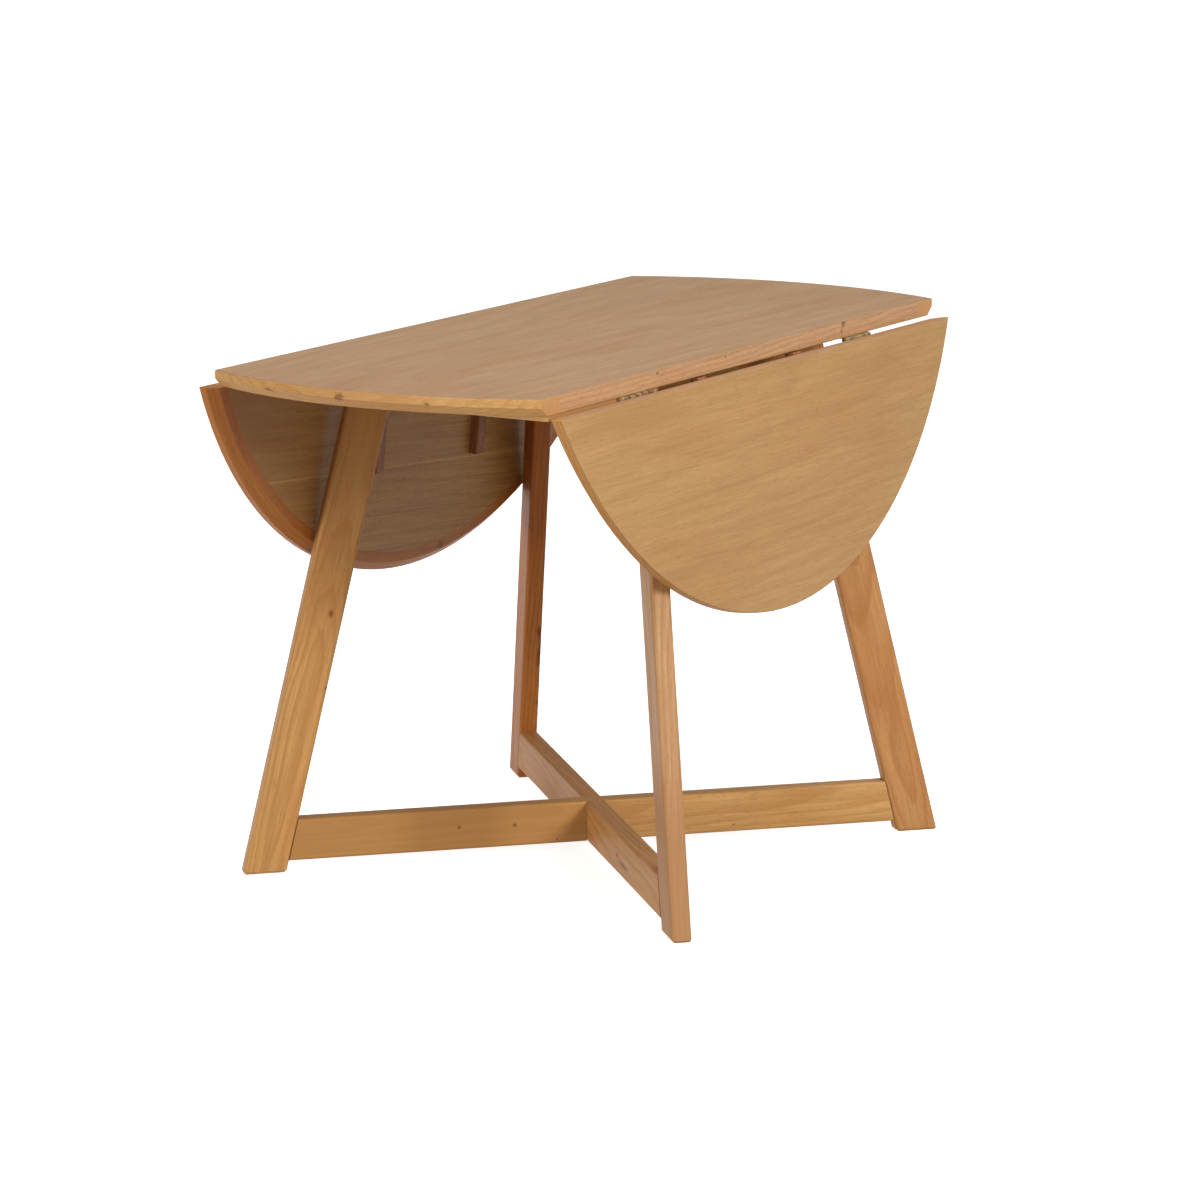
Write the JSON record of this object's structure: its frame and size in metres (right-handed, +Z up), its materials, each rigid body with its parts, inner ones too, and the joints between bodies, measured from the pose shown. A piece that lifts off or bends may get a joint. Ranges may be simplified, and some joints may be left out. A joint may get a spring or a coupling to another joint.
{
  "type": "drop leaf table",
  "caption": "Round drop leaf table: fixed centre panel with curved ends, hinged half-moon leaves and crossed splayed leg frames.",
  "frame": {"origin": "on the floor, under the middle of the top", "axes": "+Z up, X along the hinge lines and the fixed panel's length, the near leaf on the -Y side"},
  "size_m": [1.2, 0.7418, 0.755],
  "materials": {
    "top_veneer": "satin varnish",
    "under_veneer": "satin varnish",
    "lipping": "satin varnish",
    "end_lipping": "satin varnish",
    "board_core": "sawn",
    "leg_wood": "satin varnish",
    "stretcher_wood": "satin varnish",
    "rail_wood": "satin varnish",
    "batten_wood": "satin varnish",
    "support_wood": "planed",
    "hinge_brass": "aged satin",
    "pin_steel": "bright",
    "screw_steel": "zinc plated"
  },
  "bodies": {
    "frame": {"panel_core": "board_core", "panel_end_lipping_left": "end_lipping", "panel_end_lipping_right": "end_lipping", "panel_side_lipping_near": "lipping", "panel_side_lipping_far": "lipping", "panel_top_veneer": "top_veneer", "panel_bottom_veneer": "under_veneer", "leg_left_far": "leg_wood", "leg_right_far": "leg_wood", "leg_left_near": "leg_wood", "leg_right_near": "leg_wood", "stretcher_over": "stretcher_wood", "stretcher_under": "stretcher_wood", "top_rail_over": "rail_wood", "top_rail_under": "rail_wood", "rail_screws": "screw_steel", "near_loper": "support_wood", "far_loper": "support_wood", "loper_bushes": "hinge_brass", "loper_screws": "screw_steel", "hinge_fixed_plates": "hinge_brass", "hinge_pins": "pin_steel", "hinge_fixed_screws": "screw_steel"},
    "near_leaf": {"near_leaf_core": "board_core", "near_leaf_curved_lipping": "end_lipping", "near_leaf_hinge_lipping": "lipping", "near_leaf_top_veneer": "top_veneer", "near_leaf_bottom_veneer": "under_veneer", "near_leaf_batten_left": "batten_wood", "near_leaf_batten_right": "batten_wood", "near_leaf_batten_screws": "screw_steel", "near_leaf_hinge_plates": "hinge_brass", "near_leaf_hinge_screws": "screw_steel"},
    "far_leaf": {"far_leaf_core": "board_core", "far_leaf_curved_lipping": "end_lipping", "far_leaf_hinge_lipping": "lipping", "far_leaf_top_veneer": "top_veneer", "far_leaf_bottom_veneer": "under_veneer", "far_leaf_batten_left": "batten_wood", "far_leaf_batten_right": "batten_wood", "far_leaf_batten_screws": "screw_steel", "far_leaf_hinge_plates": "hinge_brass", "far_leaf_hinge_screws": "screw_steel"}
  },
  "joints": [
    {"name": "near_leaf_hinge", "type": "hinge", "parent": "frame", "child": "near_leaf", "pos_m": [0, -0.26075, 0.727], "axis": [-1, 0, 0], "range_deg": [0, 84]},
    {"name": "far_leaf_hinge", "type": "hinge", "parent": "frame", "child": "far_leaf", "pos_m": [0, 0.26075, 0.727], "axis": [1, 0, 0], "range_deg": [0, 84]}
  ]
}
